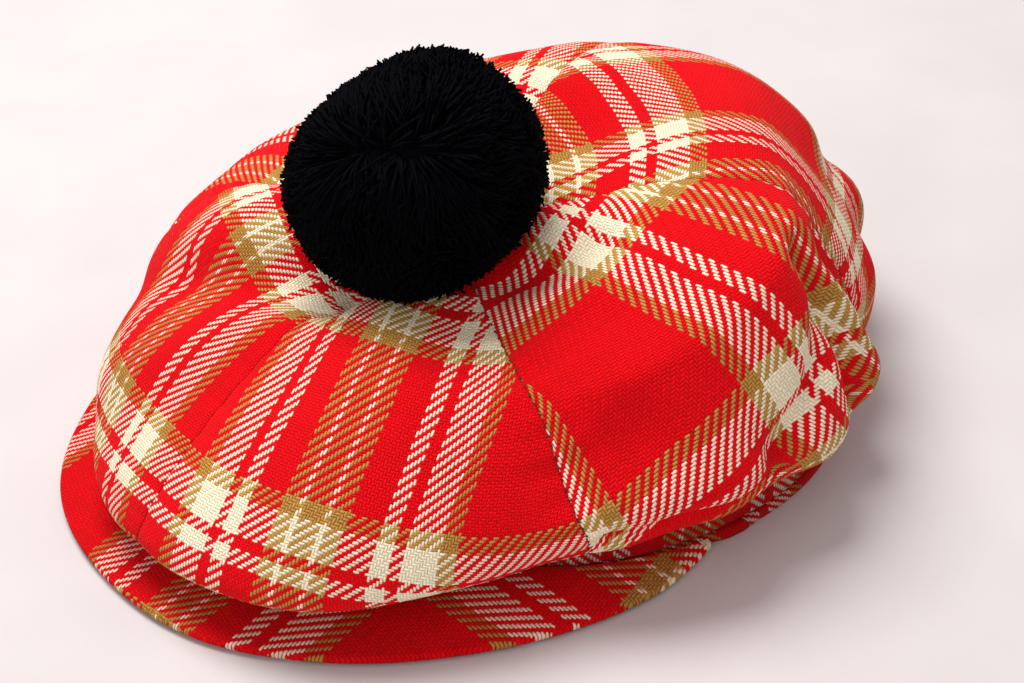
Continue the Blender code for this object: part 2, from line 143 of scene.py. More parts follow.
# azimuth; reach and height of the rim; reach and height of the shoulder; seat on the band
CROWN_ROWS = (
    (0.0, 1.00, 0.07, 0.40, 0.70, 0.12),
    (30.0, 0.96, 0.10, 0.47, 0.76, 0.18),
    (60.0, 0.45, 0.21, 0.64, 0.65, 0.45),
    (90.0, 0.41, 0.20, 0.75, 0.69, 0.80),
    (120.0, 0.42, 0.18, 0.81, 0.89, 0.95),
    (150.0, 0.33, 0.29, 0.72, 0.96, 0.95),
    (180.0, 0.59, 0.28, 0.69, 0.98, 0.90),
    (210.0, 0.57, 0.29, 0.57, 0.96, 0.85),
    (240.0, 0.47, 0.29, 0.51, 0.87, 0.78),
    (270.0, 0.47, 0.27, 0.49, 0.78, 0.68),
    (300.0, 0.49, 0.27, 0.53, 0.76, 0.50),
    (330.0, 0.60, 0.20, 0.56, 0.83, 0.28),
)


# %% Crown as a function
def smooth_between(a, b, c, d, t):
    """Smooth way from b to c, where a comes before them and d after."""
    return 0.5 * (2 * b + (c - a) * t + (2 * a - 5 * b + 4 * c - d) * t ** 2
                  + (3 * b - a - 3 * c + d) * t ** 3)


def read_column(rows, column, azimuth):
    """Smooth closed curve through one column of a table, read at many azimuths at once."""
    table = np.array(rows)
    angle = np.mod(azimuth, 360.0)
    count = len(table)
    before = np.searchsorted(table[:, 0], angle, side="right") - 1
    after = (before + 1) % count
    span = np.mod(table[after, 0] - table[before, 0], 360.0)
    t = (angle - table[before, 0]) / span
    values = table[:, column]
    return smooth_between(values[(before - 1) % count], values[before], values[after],
                          values[(after + 1) % count], t)


def band_outer(azimuth):
    return HEAD_RADIUS * read_column(HEAD_ROWS, 1, azimuth) + BAND_WALL


def hard_crown(azimuth, share):
    """Points of the crown as three arcs in a row, which meet in faint edges."""
    azimuth, share = np.broadcast_arrays(np.asarray(azimuth, float), np.asarray(share, float))
    seat = SEAT_LOW + (SEAT_HIGH - SEAT_LOW) * read_column(CROWN_ROWS, 5, azimuth)
    rim = HEAD_RADIUS + CROWN_OVERHANG * read_column(CROWN_ROWS, 1, azimuth)
    rim_height = seat + CROWN_DEPTH * read_column(CROWN_ROWS, 2, azimuth)
    shoulder = rim * read_column(CROWN_ROWS, 3, azimuth)
    shoulder_height = seat + CROWN_DEPTH * read_column(CROWN_ROWS, 4, azimuth)
    land = band_outer(azimuth + CROWN_TWIST) + GAP + SEAT_LAND
    top = np.clip(share / TOP_END, 0, 1)
    side = np.clip((share - TOP_END) / (SIDE_END - TOP_END), 0, 1) * pi / 2
    under = np.clip((share - SIDE_END) / (LAND_START - SIDE_END), 0, 1) * pi / 2
    edge = np.clip((share - LAND_START) / (1 - LAND_START), 0, 1)
    radius = np.select(
        [share <= TOP_END, share <= SIDE_END, share <= LAND_START],
        [APEX_HOLE + (shoulder - APEX_HOLE) * top,
         shoulder + (rim - shoulder) * np.sin(side) ** SIDE_ROUNDNESS,
         land + (rim - land) * np.cos(under)],
        land - SEAT_LAND * edge)
    height = np.select(
        [share <= TOP_END, share <= SIDE_END],
        [APEX_HEIGHT + (shoulder_height - APEX_HEIGHT) * np.sin(top * pi / 2),
         rim_height + (shoulder_height - rim_height) * np.abs(np.cos(side)) ** SIDE_ROUNDNESS],
        seat + (rim_height - seat) * (1 - np.sin(under)))
    drift = np.clip(1 - share / CENTRE_SHARE, 0, None)
    angle = np.radians(azimuth + CROWN_TWIST)
    return np.stack([radius * np.sin(angle),
                     -radius * np.cos(angle) - APEX_FORWARD * drift,
                     height], -1)


# %% Rounded crown
SOFT_SHARE = 0.05           # how far the rounding reaches along the meridian
SOFT_SHOULDER = 0.07        # and how much further at the shoulder
SHOULDER_WIDTH = 0.12
SOFT_WEIGHTS = ((-1.0, 0.10), (-0.67, 0.15), (-0.33, 0.16), (0.0, 0.18),
                (0.33, 0.16), (0.67, 0.15), (1.0, 0.10))


def plain_crown(azimuth, share):
    """Points of the crown with those edges rounded off, by a mean along the way down."""
    width = SOFT_SHARE + SOFT_SHOULDER * np.exp(-((share - TOP_END) / SHOULDER_WIDTH) ** 2)
    width = np.minimum(np.minimum(share, np.clip(LAND_START - share, 0, None)), width)
    return sum(weight * hard_crown(azimuth, share + offset * width)
               for offset, weight in SOFT_WEIGHTS)


NORMAL_STEP = 0.01          # share between the two points that a slope is read from


def crown_normals(azimuth, share):
    along = (plain_crown(azimuth, np.minimum(share + NORMAL_STEP, 1))
             - plain_crown(azimuth, np.maximum(share - NORMAL_STEP, 0)))
    across = plain_crown(azimuth + 1, share) - plain_crown(azimuth - 1, share)
    normals = -np.cross(across, along)
    return normals / np.linalg.norm(normals, axis=-1, keepdims=True)


# %% [markdown]
# ## Folds, gathers and seams
# Wool this heavy doesn't lie smooth: it tucks under itself beside the pompom, slumps at the
# sides and is gathered small at the band. A cloth simulation would invent its own folds, and
# these have to be the folds of this cap, so each one is a line on the crown with a width and a
# depth. A negative depth is a ridge beside a tuck.

# %% Lines of the folds
# azimuth, share, to azimuth, to share, half width in mm, depth in mm
FOLD_ROWS = (
    (2.0, 0.23, -22.0, 0.50, 10.1, 5.4),
    (-22.0, 0.50, -40.0, 0.75, 8.3, 1.7),
    (5.0, 0.35, -28.0, 0.80, 11.0, -2.9),
    (6.0, 0.20, 7.0, 0.30, 8.3, 4.6),
    (84.0, 0.11, 112.0, 0.15, 7.8, 5.0),
    (82.0, 0.18, 108.0, 0.22, 8.7, -2.1),
    (66.0, 0.58, 79.0, 0.52, 13.8, 3.7),
    (70.0, 0.80, 98.0, 0.80, 5.5, 5.8),
    (76.0, 0.70, 94.0, 0.70, 8.3, -1.7),
    (100.0, 0.68, 120.0, 0.54, 6.9, 5.0),
    (121.0, 0.78, 124.0, 0.45, 6.4, 6.6),
    (136.0, 0.80, 133.0, 0.52, 7.4, 5.8),
    (165.0, 0.60, 200.0, 0.66, 10.1, 4.2),
    (232.0, 0.62, 262.0, 0.70, 10.1, 3.7),
    (150.0, 0.14, 215.0, 0.16, 18.4, 3.3),
)
FOLD_SAMPLES = 13


def fold_sink(points):
    """How far the folds push each point in."""
    sink = np.zeros(points.shape[:-1])
    for azimuth, start, to_azimuth, end, half_width, depth in FOLD_ROWS:
        t = np.linspace(0, 1, FOLD_SAMPLES)
        line = plain_crown(azimuth + (to_azimuth - azimuth) * t, start + (end - start) * t)
        nearest = np.full(points.shape[:-1], np.inf)
        for a, b in zip(line[:-1], line[1:]):
            run = b - a
            k = np.clip(((points - a) @ run) / (run @ run), 0, 1)
            distance = np.linalg.norm(points - a - k[..., None] * run, axis=-1)
            nearest = np.minimum(nearest, distance)
        sink += depth * MM * np.exp(-(nearest / (half_width * MM)) ** 2)
    return sink


# %% Seams, gathers and slack cloth
SEAM_DIP = 0.0009           # the cloth sinks this far at a seam
SEAM_SOFTNESS = 0.0060      # and this wide
SEAM_ROLL = 0.0004          # its edge turns in at the very seam
ROLL_WIDTH = 0.0010
PUCKER = 0.00025            # small waves where the thread draws the seam together
PUCKER_REACH = 0.0110
PUCKER_STEP = 0.0105
GATHER_DEPTH = 0.0022
GATHER_COUNT = 18
GATHER_START = 0.45         # share where the gathers start
GATHER_RUN = 0.30           # and how much further down they reach their depth
SLACK = 0.0009
SLACK_SIZE = 0.030
SEAT_FADE = 0.10            # all this fades out over this share above the band


def crown_surface(azimuth, share, seam_distance, along):
    """Points of the sewn and rumpled crown. `along` is the length of cloth from the top."""
    points = plain_crown(azimuth, share)
    normals = crown_normals(azimuth, share)
    sink = fold_sink(points)
    sink = sink + SEAM_DIP * np.exp(-(seam_distance / SEAM_SOFTNESS) ** 2)
    pucker = PUCKER * np.exp(-(seam_distance / PUCKER_REACH) ** 2)
    sink = sink + pucker * np.sin(2 * pi * along / PUCKER_STEP)
    angle = np.radians(azimuth)
    back = 0.5 - 0.5 * np.cos(angle)
    low = np.clip((share - GATHER_START) / GATHER_RUN, 0, 1)
    sink = sink + GATHER_DEPTH * back * low * np.cos(angle * GATHER_COUNT)
    flat = points.reshape(-1, 3)
    slack = np.array([noise.noise(Vector(p / SLACK_SIZE)) for p in flat])
    sink = sink + SLACK * slack.reshape(points.shape[:-1])
    fade = np.clip((LAND_START - share) / SEAT_FADE, 0, 1)
    sink = sink * fade + SEAM_ROLL * np.exp(-(seam_distance / ROLL_WIDTH) ** 2) * fade
    return points - normals * sink[..., None], normals


# %% [markdown]
# ## Where the tartan lies
# A tartan is a repeat of coloured threads, the same one across and along. On the real cap each
# panel was cut at its own angle, so its stripes meet the seams differently. The cloth's own
# UV map therefore counts threads: one unit is one thread, and a row for each panel says where
# the middle of the wide tan stripe falls and how the cloth is turned and stretched.

# %% Panels and their cut
THREAD = 0.00087            # from one thread to the next
MIDDLE_THREAD = 60.0        # threads from the top to the middle of a panel
FAN_RADIUS = 0.20           # the stripes across a panel curve a little round the top
# name, seam azimuth, offset across, offset outwards, turn in degrees, stretch across and
# outwards, bow across, bow outwards, taper across, ease outwards
PANEL_ROWS = (
    ("front_right", 8.0, -7.3, -2.9, 8.0, 1.16, 0.85, 0.07, 0.15, -0.17, 0.09),
    ("right", 66.0, -54.9, -1.5, 8.0, 1.03, 0.84, -0.14, -0.14, -0.20, 0.05),
    ("back_right", 138.0, 34.2, -38.2, 15.5, 1.23, 0.96, 0.33, 0.10, 0.36, 0.01),
    ("back_left", 210.0, -20.0, -30.0, 6.0, 1.08, 0.97, 0.05, 0.05, 0.05, 0.00),
    ("left", 262.0, -22.0, -14.0, -6.0, 1.08, 0.97, -0.05, 0.00, 0.05, 0.00),
    ("front_left", 315.0, 20.3, -14.9, -12.5, 1.34, 1.00, -0.27, -0.11, 0.25, 0.02),
)
TOP_ROWS = 44
SIDE_ROWS = 50
UNDER_ROWS = 30
LAND_ROWS = 3
PANEL_COLUMNS = 96
COLUMN_CROWDING = 0.06      # how much closer the columns lie at the seams
SEAM_GAP = 0.00004
CLOTH_WALL = 0.0014


def thread_places(row, length, across):
    """Thread numbers for cloth that lies `length` from the top and `across` from the middle."""
    _, _, offset_u, offset_v, turn, stretch_u, stretch_v, bow_u, bow_v, taper, ease = row
    angle = across / (length + FAN_RADIUS)
    u = (length + FAN_RADIUS) * np.sin(angle) / THREAD
    v = ((length + FAN_RADIUS) * np.cos(angle) - FAN_RADIUS) / THREAD
    c, s = cos(radians(turn)), sin(radians(turn))
    a = u * c + v * s
    b = v * c - u * s
    out = b - MIDDLE_THREAD
    return (offset_u + a * stretch_u + (bow_u * out ** 2 + taper * a * out) / 100,
            offset_v + b * stretch_v + (bow_v * a ** 2 + ease * out ** 2) / 100)


# %% One panel
def length_along(points, axis=0):
    """How far each point of a line, or of every line of a grid, lies from its start."""
    steps = np.linalg.norm(np.diff(points, axis=axis), axis=-1)
    return np.cumsum(np.insert(steps, 0, 0, axis=axis), axis=axis)


def panel_shares():
    top = np.linspace(0, TOP_END, TOP_ROWS + 1)
    side = np.linspace(TOP_END, SIDE_END, SIDE_ROWS + 1)
    under = np.linspace(SIDE_END, LAND_START, UNDER_ROWS + 1)
    land = np.linspace(LAND_START, 1, LAND_ROWS + 1)
    return np.concatenate([top, side[1:], under[1:], land[1:]])


def grid_piece(name, points, threads):
    """A grid primitive whose vertices are moved onto rows of points, with its thread map."""
    rows, columns = points.shape[:2]
    deselect_all()
    bpy.ops.mesh.primitive_grid_add(x_subdivisions=columns - 1, y_subdivisions=rows - 1, size=0.2)
    piece = bpy.context.object
    piece.name = name
    piece.data.name = name
    piece.data.vertices.foreach_set("co", points.astype(np.float32).ravel())
    corner = np.empty(len(piece.data.loops), np.int32)
    piece.data.loops.foreach_get("vertex_index", corner)
    layer = piece.data.uv_layers[0]
    layer.name = "threads"
    layer.data.foreach_set("uv", threads.reshape(-1, 2)[corner].astype(np.float32).ravel())
    piece.data.update()
    bpy.ops.object.shade_smooth()
    return piece


def panel_azimuths(seam, end, share):
    """Azimuth of every column at each share, with half the seam's gap left at both edges, and
    how far it lies from the nearer seam."""
    width = (end - seam) % 360.0
    middle = plain_crown(seam + width / 2, share)
    drift = np.clip(1 - share / CENTRE_SHARE, 0, None)
    reach = np.hypot(middle[:, 0], middle[:, 1] + APEX_FORWARD * drift)
    inset = np.degrees(SEAM_GAP / 2 / reach)
    place = np.linspace(0, 1, PANEL_COLUMNS + 1)
    place = place - np.sin(2 * pi * place) * COLUMN_CROWDING
    azimuth = seam + inset[:, None] + (width - 2 * inset[:, None]) * place
    to_seam = np.minimum(azimuth - seam, seam + width - azimuth)
    return azimuth, np.radians(to_seam) * reach[:, None]


def build_panel(index):
    """One panel of the crown: its grid of points, its thread map, and its wall."""
    row = PANEL_ROWS[index]
    seam, end = row[1], PANEL_ROWS[(index + 1) % len(PANEL_ROWS)][1]
    share = panel_shares()
    azimuth, seam_distance = panel_azimuths(seam, end, share)
    full = np.broadcast_to(share[:, None], azimuth.shape)
    smooth = plain_crown(azimuth, full)
    along = length_along(smooth)
    across = length_along(smooth, axis=1)
    across = across - across[:, [across.shape[1] // 2]]
    points, _ = crown_surface(azimuth, full, seam_distance, along)
    threads = np.stack(thread_places(row, along, across), -1)
    piece = grid_piece("cap_panel_" + row[0], points[::-1], threads[::-1])
    wall = piece.modifiers.new("Cloth", "SOLIDIFY")
    wall.thickness = CLOTH_WALL
    wall.offset = -1.0
    wall.use_even_offset = False
    bpy.ops.object.modifier_apply(modifier=wall.name)
    return piece


panels = [build_panel(index) for index in range(len(PANEL_ROWS))]
print("panels:", [(panel.name, len(panel.data.polygons)) for panel in panels])

# %% [markdown]
# ## Each panel is a sheet of cloth
# A panel is cut flat, with a pointed top and curved sides, and is then sewn to its neighbours and
# gathered onto the band. The flat sizes are measured along the middle line, across the widest
# part and over the whole surface of the finished panel, because wool hardly stretches.

# %% Cut sizes
# width, length, flat area, in the order of the panels
CUT_ROWS = (
    (0.145, 0.190, 0.0165),
    (0.150, 0.175, 0.0172),
    (0.155, 0.215, 0.0205),
    (0.110, 0.190, 0.0132),
    (0.110, 0.165, 0.0118),
    (0.125, 0.175, 0.0152),
)
for panel, (width, length, area) in zip(panels, CUT_ROWS):
    surface = sum(p.area for p in panel.data.polygons) / 2
    print(panel.name, "surface of one side:", round(surface, 4))

# %% [markdown]
# ## Twill and tartan
# Close up, the cloth is a two-and-two twill: each thread runs over two and under two, one step
# further along in every row, which draws the fine diagonal lines. The colour at a point is that
# of the thread on top, warp or weft, so where two stripes of different colours cross they mix
# into slanting dashes. An image would do it, but nodes that count threads stay sharp at any size.

# %% Node helpers
def put(tree, kind, **settings):
    node = tree.nodes.new(kind)
    for name, value in settings.items():
        setattr(node, name, value)
    return node


def feed(tree, socket, value):
    """Joins a link to a socket, or sets the socket's own value."""
    if isinstance(value, bpy.types.NodeSocket):
        tree.links.new(value, socket)
    elif value is not None:
        socket.default_value = value


def set_inputs(node, **values):
    """Sets sockets by their names, with _ where a name has a space."""
    for name, value in values.items():
        node.inputs[name.replace("_", " ")].default_value = value


def calculate(tree, operation, a, b=None, c=None):
    node = put(tree, "ShaderNodeMath", operation=operation)
    for socket, value in zip(node.inputs, (a, b, c)):
        feed(tree, socket, value)
    return node.outputs[0]


def blend_colours(tree, factor, a, b, blend_type="MIX"):
    node = put(tree, "ShaderNodeMix", data_type="RGBA", blend_type=blend_type)
    feed(tree, node.inputs["Factor"], factor)
    feed(tree, node.inputs[6], a)
    feed(tree, node.inputs[7], b)
    return node.outputs[2]


def pick(tree, factor, a, b):
    """a where the factor is 0, and b where it is 1."""
    node = put(tree, "ShaderNodeMix", data_type="FLOAT")
    feed(tree, node.inputs["Factor"], factor)
    feed(tree, node.inputs[2], a)
    feed(tree, node.inputs[3], b)
    return node.outputs[0]


def new_material(name):
    """A material with its node tree and its Principled shader."""
    material = bpy.data.materials.new(name)
    material.use_nodes = True
    tree = material.node_tree
    return material, tree, tree.nodes["Principled BSDF"]


def object_place(tree):
    return put(tree, "ShaderNodeTexCoord").outputs["Object"]


def roughen(tree, shader, height, strength, distance):
    """Bump from a height; the distance is in metres."""
    bump = put(tree, "ShaderNodeBump")
    set_inputs(bump, Strength=strength, Distance=distance)
    feed(tree, bump.inputs["Height"], height)
    feed(tree, shader.inputs["Normal"], bump.outputs["Normal"])


def noise_value(tree, vector, scale, detail=2.0, roughness=0.5):
    node = put(tree, "ShaderNodeTexNoise")
    feed(tree, node.inputs["Vector"], vector)
    set_inputs(node, Scale=scale, Detail=detail, Roughness=roughness)
    return node.outputs["Fac"]


# %% The sett, stripe by stripe
RED = (0.86, 0.003, 0.009, 1.0)
CREAM = (1.0, 0.90, 0.68, 1.0)
TAN = (0.56, 0.30, 0.070, 1.0)
HALF_SETT = 79.0            # threads from the middle of the wide tan to the middle of the wide red
# threads from the middle of the wide tan stripe, colour from there on
SETT_ROWS = (
    (0, TAN),
    (4, CREAM),
    (6, TAN),
    (12, RED),
    (24, CREAM),
    (30, RED),
    (34, CREAM),
    (46, TAN),
    (52, RED),
)


def sett_colour(tree, thread):
    """Colour of a thread by its number: the sett runs out, turns round and comes back."""
    folded = calculate(tree, "PINGPONG", calculate(tree, "ADD", thread, 0.5), HALF_SETT)
    ramp = put(tree, "ShaderNodeValToRGB")
    ramp.color_ramp.interpolation = "CONSTANT"
    stops = ramp.color_ramp.elements
    stops.remove(stops[1])
    stops[0].color = SETT_ROWS[0][1]
    for place, colour in SETT_ROWS[1:]:
        stops.new(place / HALF_SETT).color = colour
    feed(tree, ramp.inputs["Fac"], calculate(tree, "DIVIDE", folded, HALF_SETT))
    return ramp.outputs["Color"]


# %% Twill weave as a node group
TWILL_REPEAT = 4.0          # threads in one repeat: over two and under two
WANDER_SCALE, WANDER = 70.0, 1.6        # slow drift: noise scale, and threads from side to side
WOBBLE_SCALE, WOBBLE = 900.0, 0.5       # and the quick unevenness of the yarn
ROUNDNESS = 0.6                         # of a thread, across
FLOAT_LOW, FLOAT_RISE = 0.45, 0.55      # height at the end of a float, and how much it rises
GAP_SLOPE, GAP_START = -4.5, 1.5        # how fast a thread's own colour takes over from the gap
NAP_BLEED = 0.13                        # the crossing thread's share in the colour of the nap
FIBRE_SCALE = 2600.0
SHADE_LOW, SHADE_DYE, PAINTED_SHADE_HEIGHT, SHADE_FIBRE = 0.68, 0.14, 0.32, 0.50
FIBRE_HEIGHT = 0.35
WEFT_SEED = 500.0                       # so that warp and weft take the dye differently


def centred(group, value, width):
    """A value from 0 to 1, spread over a width round 0."""
    return calculate(group, "MULTIPLY_ADD", value, width, -width / 2)


def twill_group():
    """Colour of the weave with its painted shade, and its height, from the thread numbers."""
    group = bpy.data.node_groups.new("twill_tartan_painted_shade", "ShaderNodeTree")
    group.interface.new_socket("Colour", in_out="OUTPUT", socket_type="NodeSocketColor")
    group.interface.new_socket("Height", in_out="OUTPUT", socket_type="NodeSocketFloat")

    def maths(*terms):
        return calculate(group, *terms)

    place = object_place(group)
    threads = put(group, "ShaderNodeUVMap", uv_map="threads").outputs["UV"]
    split = put(group, "ShaderNodeSeparateXYZ")
    feed(group, split.inputs[0], threads)
    # yarn is never quite straight or even
    wander = centred(group, noise_value(group, place, WANDER_SCALE, 1.0), WANDER)
    wobble = centred(group, noise_value(group, place, WOBBLE_SCALE, 1.0), WOBBLE)
    drift = maths("ADD", wander, wobble)
    u = maths("ADD", split.outputs[0], drift)
    v = maths("SUBTRACT", split.outputs[1], drift)
    warp = maths("FLOOR", u)
    weft = maths("FLOOR", v)
    step = maths("FLOORED_MODULO", maths("ADD", warp, weft), TWILL_REPEAT)
    warp_on_top = maths("LESS_THAN", step, 1.5)
    across = pick(group, warp_on_top, maths("FRACT", v), maths("FRACT", u))
    warp_run = maths("FLOORED_MODULO", maths("ADD", warp, v), TWILL_REPEAT)
    weft_step = maths("FLOORED_MODULO", maths("ADD", u, weft), TWILL_REPEAT)
    weft_run = maths("SUBTRACT", weft_step, TWILL_REPEAT / 2)
    run = maths("MULTIPLY", pick(group, warp_on_top, weft_run, warp_run), 0.5)
    # both are 1 on the back of a thread and 0 at its side or its end
    round_across = maths("SINE", maths("MULTIPLY", across, pi))
    round_along = maths("SINE", maths("MULTIPLY", run, pi))
    round_along = maths("MAXIMUM", round_along, 0.0)
    side = maths("POWER", maths("MAXIMUM", round_across, 0.0), ROUNDNESS)
    crest = maths("MULTIPLY_ADD", round_along, FLOAT_RISE, FLOAT_LOW)
    height = maths("MULTIPLY", side, crest)
    warp_colour, weft_colour = sett_colour(group, warp), sett_colour(group, weft)
    on_top = blend_colours(group, warp_on_top, weft_colour, warp_colour)
    # between the threads the two colours mix, and multiplying them paints the shade in the gap
    gap_colour_painted_shade = blend_colours(group, 1.0, warp_colour, weft_colour, "MULTIPLY")
    middle = maths("MULTIPLY", round_across, maths("POWER", round_along, 0.5))
    gap = maths("MULTIPLY_ADD", middle, GAP_SLOPE, GAP_START)
    # the nap carries a little of the crossing thread's colour, and of the gap's painted shade,
    # over every thread
    gap = maths("MINIMUM", maths("MAXIMUM", gap, NAP_BLEED), 1.0)
    colour = blend_colours(group, gap, on_top, gap_colour_painted_shade)
    # each thread takes the dye a little differently
    number = pick(group, warp_on_top, maths("ADD", weft, WEFT_SEED), warp)
    tone = put(group, "ShaderNodeTexWhiteNoise", noise_dimensions="1D")
    feed(group, tone.inputs["W"], number)
    fibres = noise_value(group, place, FIBRE_SCALE, 3.0, 0.65)
    shade = maths("MULTIPLY_ADD", tone.outputs["Value"], SHADE_DYE, SHADE_LOW)
    # painted shade: each thread darker at its sides and float ends, where it dips under its
    # neighbours
    shade = maths("ADD", shade, maths("MULTIPLY", height, PAINTED_SHADE_HEIGHT))
    shade = maths("ADD", shade, centred(group, fibres, SHADE_FIBRE))
    shaded = blend_colours(group, 1.0, colour, shade, "MULTIPLY")
    output = put(group, "NodeGroupOutput")
    feed(group, output.inputs["Colour"], shaded)
    fuzz = maths("MULTIPLY", fibres, FIBRE_HEIGHT)
    feed(group, output.inputs["Height"], maths("ADD", height, fuzz))
    return group


TWILL = twill_group()

# %% [markdown]
# ## Wool as a material
# The same twill dresses the crown, the band and the peak. It could be three materials made by
# hand, but one function keeps their weave alike, and a tint paints the crown's shade on the band
# and the peak. Wool is rough and hardly shines, so there is little specular and little sheen.

# %% Tartan wool
WEAVE_RELIEF = 0.00040      # metres
PATCH_SCALE, PATCH_LOW, PATCH_RANGE = 28.0, 0.85, 0.30


def cloth_material(name, painted_shade_tint=(1.0, 1.0, 1.0, 1.0)):
    """Tartan wool: the twill's colour, darkened by a tint of painted shade and dulled a little in
    patches, with a soft nap.
    """
    material, tree, shader = new_material(name)
    weave = put(tree, "ShaderNodeGroup", node_tree=TWILL)
    blotches = noise_value(tree, object_place(tree), PATCH_SCALE, 3.0)
    patch = calculate(tree, "MULTIPLY_ADD", blotches, PATCH_RANGE, PATCH_LOW)
    colour = blend_colours(tree, 1.0, weave.outputs["Colour"], painted_shade_tint, "MULTIPLY")
    colour = blend_colours(tree, 1.0, colour, patch, "MULTIPLY")
    feed(tree, shader.inputs["Base Color"], colour)
    roughen(tree, shader, weave.outputs["Height"], strength=0.85, distance=WEAVE_RELIEF)
    set_inputs(shader, Roughness=0.92, Specular_IOR_Level=0.06,
               Sheen_Weight=0.02, Sheen_Roughness=0.55)
    return material


crown_cloth = cloth_material("tartan_wool")
for panel, row in zip(panels, PANEL_ROWS):
    panel.data.materials.append(crown_cloth)
    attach(panel, "root")
    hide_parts("crown_panel_" + row[0])
print("stripes in half the sett:", len(SETT_ROWS))

# %% [markdown]
# ## Stitches in the seams
# Where two panels meet, a dark thread shows as a row of short slanting stitches. They could be
# painted, but a real stitch bites into the cloth and casts a small shadow. One stitch is a
# stretched ball, and its copies along every seam make one object.

# %% Dark stitches
STITCH_LENGTH = 0.0013
STITCH_WIDTH = 0.00050
STITCH_STEP = 0.0034        # from one stitch to the next
STITCH_SLANT = 0.55         # every other stitch slants the other way
STITCH_FROM, STITCH_TO = 0.10, 0.93     # share of the way down
BALL_SEGMENTS, BALL_RINGS = 6, 4
LINE_SAMPLES, START_SAMPLES = 400, 30
OPEN_SEAM = 66.0            # this seam is pulled open
STITCH_RISE, STITCH_SUNK = 0.25, -0.42      # in stitch widths, there and on the other seams
PLY_SCALE = 1400.0
PLY_DARK, PLY_PALE = (0.012, 0.010, 0.006, 1.0), (0.050, 0.038, 0.018, 1.0)


def take_apart(piece):
    """Vertices and faces of a small piece, which is then removed."""
    points = np.array([v.co[:] for v in piece.data.vertices])
    faces = [tuple(p.vertices) for p in piece.data.polygons]
    bpy.data.objects.remove(piece)
    return points, faces


def joined_copies(name, copies, faces):
    """One object from many placed copies of the same few faces."""
    count = len(copies[0])
    polygons = [tuple(corner + k * count for corner in face)
                for k in range(len(copies)) for face in faces]
    mesh = bpy.data.meshes.new(name)
    mesh.from_pydata(np.concatenate(copies).tolist(), [], polygons)
    piece = bpy.data.objects.new(name, mesh)
    bpy.context.scene.collection.objects.link(piece)
    select_only(piece)
    bpy.ops.object.shade_smooth()
    return piece


def unit(vectors):
    return vectors / np.maximum(np.linalg.norm(vectors, axis=-1, keepdims=True), 1e-9)


deselect_all()
bpy.ops.mesh.primitive_uv_sphere_add(segments=BALL_SEGMENTS, ring_count=BALL_RINGS, radius=1.0)
ball_points, ball_faces = take_apart(bpy.context.object)
ball_faces.sort()           # the operator's own order differs from run to run


def seam_stitches(azimuth):
    """Copies of a stitch along one seam, lying in its valley."""
    share = np.linspace(STITCH_FROM, STITCH_TO, LINE_SAMPLES)
    run = length_along(plain_crown(azimuth, share))
    share_before = np.linspace(0, STITCH_FROM, START_SAMPLES)
    length_before = length_along(plain_crown(azimuth, share_before))[-1]
    stations = np.arange(0.0, run[-1], STITCH_STEP)
    at = np.interp(stations, run, share)
    points, normals = crown_surface(np.full_like(at, azimuth), at, np.zeros_like(at),
                                    stations + length_before)
    along = unit(np.gradient(points, axis=0))
    across = unit(np.cross(normals, along))
    rise = STITCH_RISE if azimuth == OPEN_SEAM else STITCH_SUNK
    ball = ball_points * np.array([STITCH_LENGTH, STITCH_WIDTH, STITCH_WIDTH]) / 2
    copies = []
    for k in range(len(at)):
        way = unit(along[k] + across[k] * STITCH_SLANT * (1 if k % 2 else -1))
        side = unit(np.cross(normals[k], way))
        copies.append(points[k] + normals[k] * STITCH_WIDTH * rise
                      + ball @ np.array([way, side, normals[k]]))
    return copies


stitch_copies = [copy for row in PANEL_ROWS for copy in seam_stitches(row[1])]
stitching = joined_copies("cap_seam_stitches", stitch_copies, ball_faces)
stitch_material, tree, shader = new_material("dark_thread")
ply = put(tree, "ShaderNodeTexWave", bands_direction="DIAGONAL")
set_inputs(ply, Scale=PLY_SCALE)
feed(tree, ply.inputs["Vector"], object_place(tree))
ply_colour = blend_colours(tree, ply.outputs["Fac"], PLY_DARK, PLY_PALE)
feed(tree, shader.inputs["Base Color"], ply_colour)
set_inputs(shader, Roughness=0.8)
stitching.data.materials.append(stitch_material)
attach(stitching, "root")
print("stitches:", len(stitch_copies))

# %% [markdown]
# ## The headband and its binding
# The crown's lower edge is sewn to a folded band that holds the head, and a narrow strip binds
# its lower edge, lapped over itself behind the peak's right end. A spun rectangle would look
# like a metal ring. Here a grid is wrapped round the head opening along a rounded outline, so
# the folded edges are soft and the thread map can run round with the cloth.

# %% Rounded rings of cloth
BAND_COLUMNS = 240
BAND_ROUNDING, STRIP_ROUNDING = 0.0012, 0.0011
BAND_THREAD = 90.0          # thread at the inner lower edge of the band
SWELL, SWELL_COUNT = 0.0002, 24
LAP_AZIMUTH = 91.0
LAP_STEP = 0.0012
LAP_WIDTH = 8.7             # degrees
LAP_START_SLOPE, LAP_END_SLOPE = 0.8, 3.0
CORNER_STEPS = 4
MERGE = 0.00001             # metres, to close a seam


def close_grid(piece, open_ends=False):
    """Welds a grid where its edges meet, fills its open ends and turns every face outwards."""
    select_only(piece)
    bpy.ops.object.mode_set(mode="EDIT")
    bpy.ops.mesh.select_all(action="SELECT")
    bpy.ops.mesh.remove_doubles(threshold=MERGE)
    if open_ends:
        bpy.ops.mesh.select_all(action="DESELECT")
        bpy.ops.mesh.select_non_manifold()
        bpy.ops.mesh.edge_face_add()
        bpy.ops.mesh.select_all(action="SELECT")
    bpy.ops.mesh.normals_make_consistent(inside=False)
    bpy.ops.object.mode_set(mode="OBJECT")


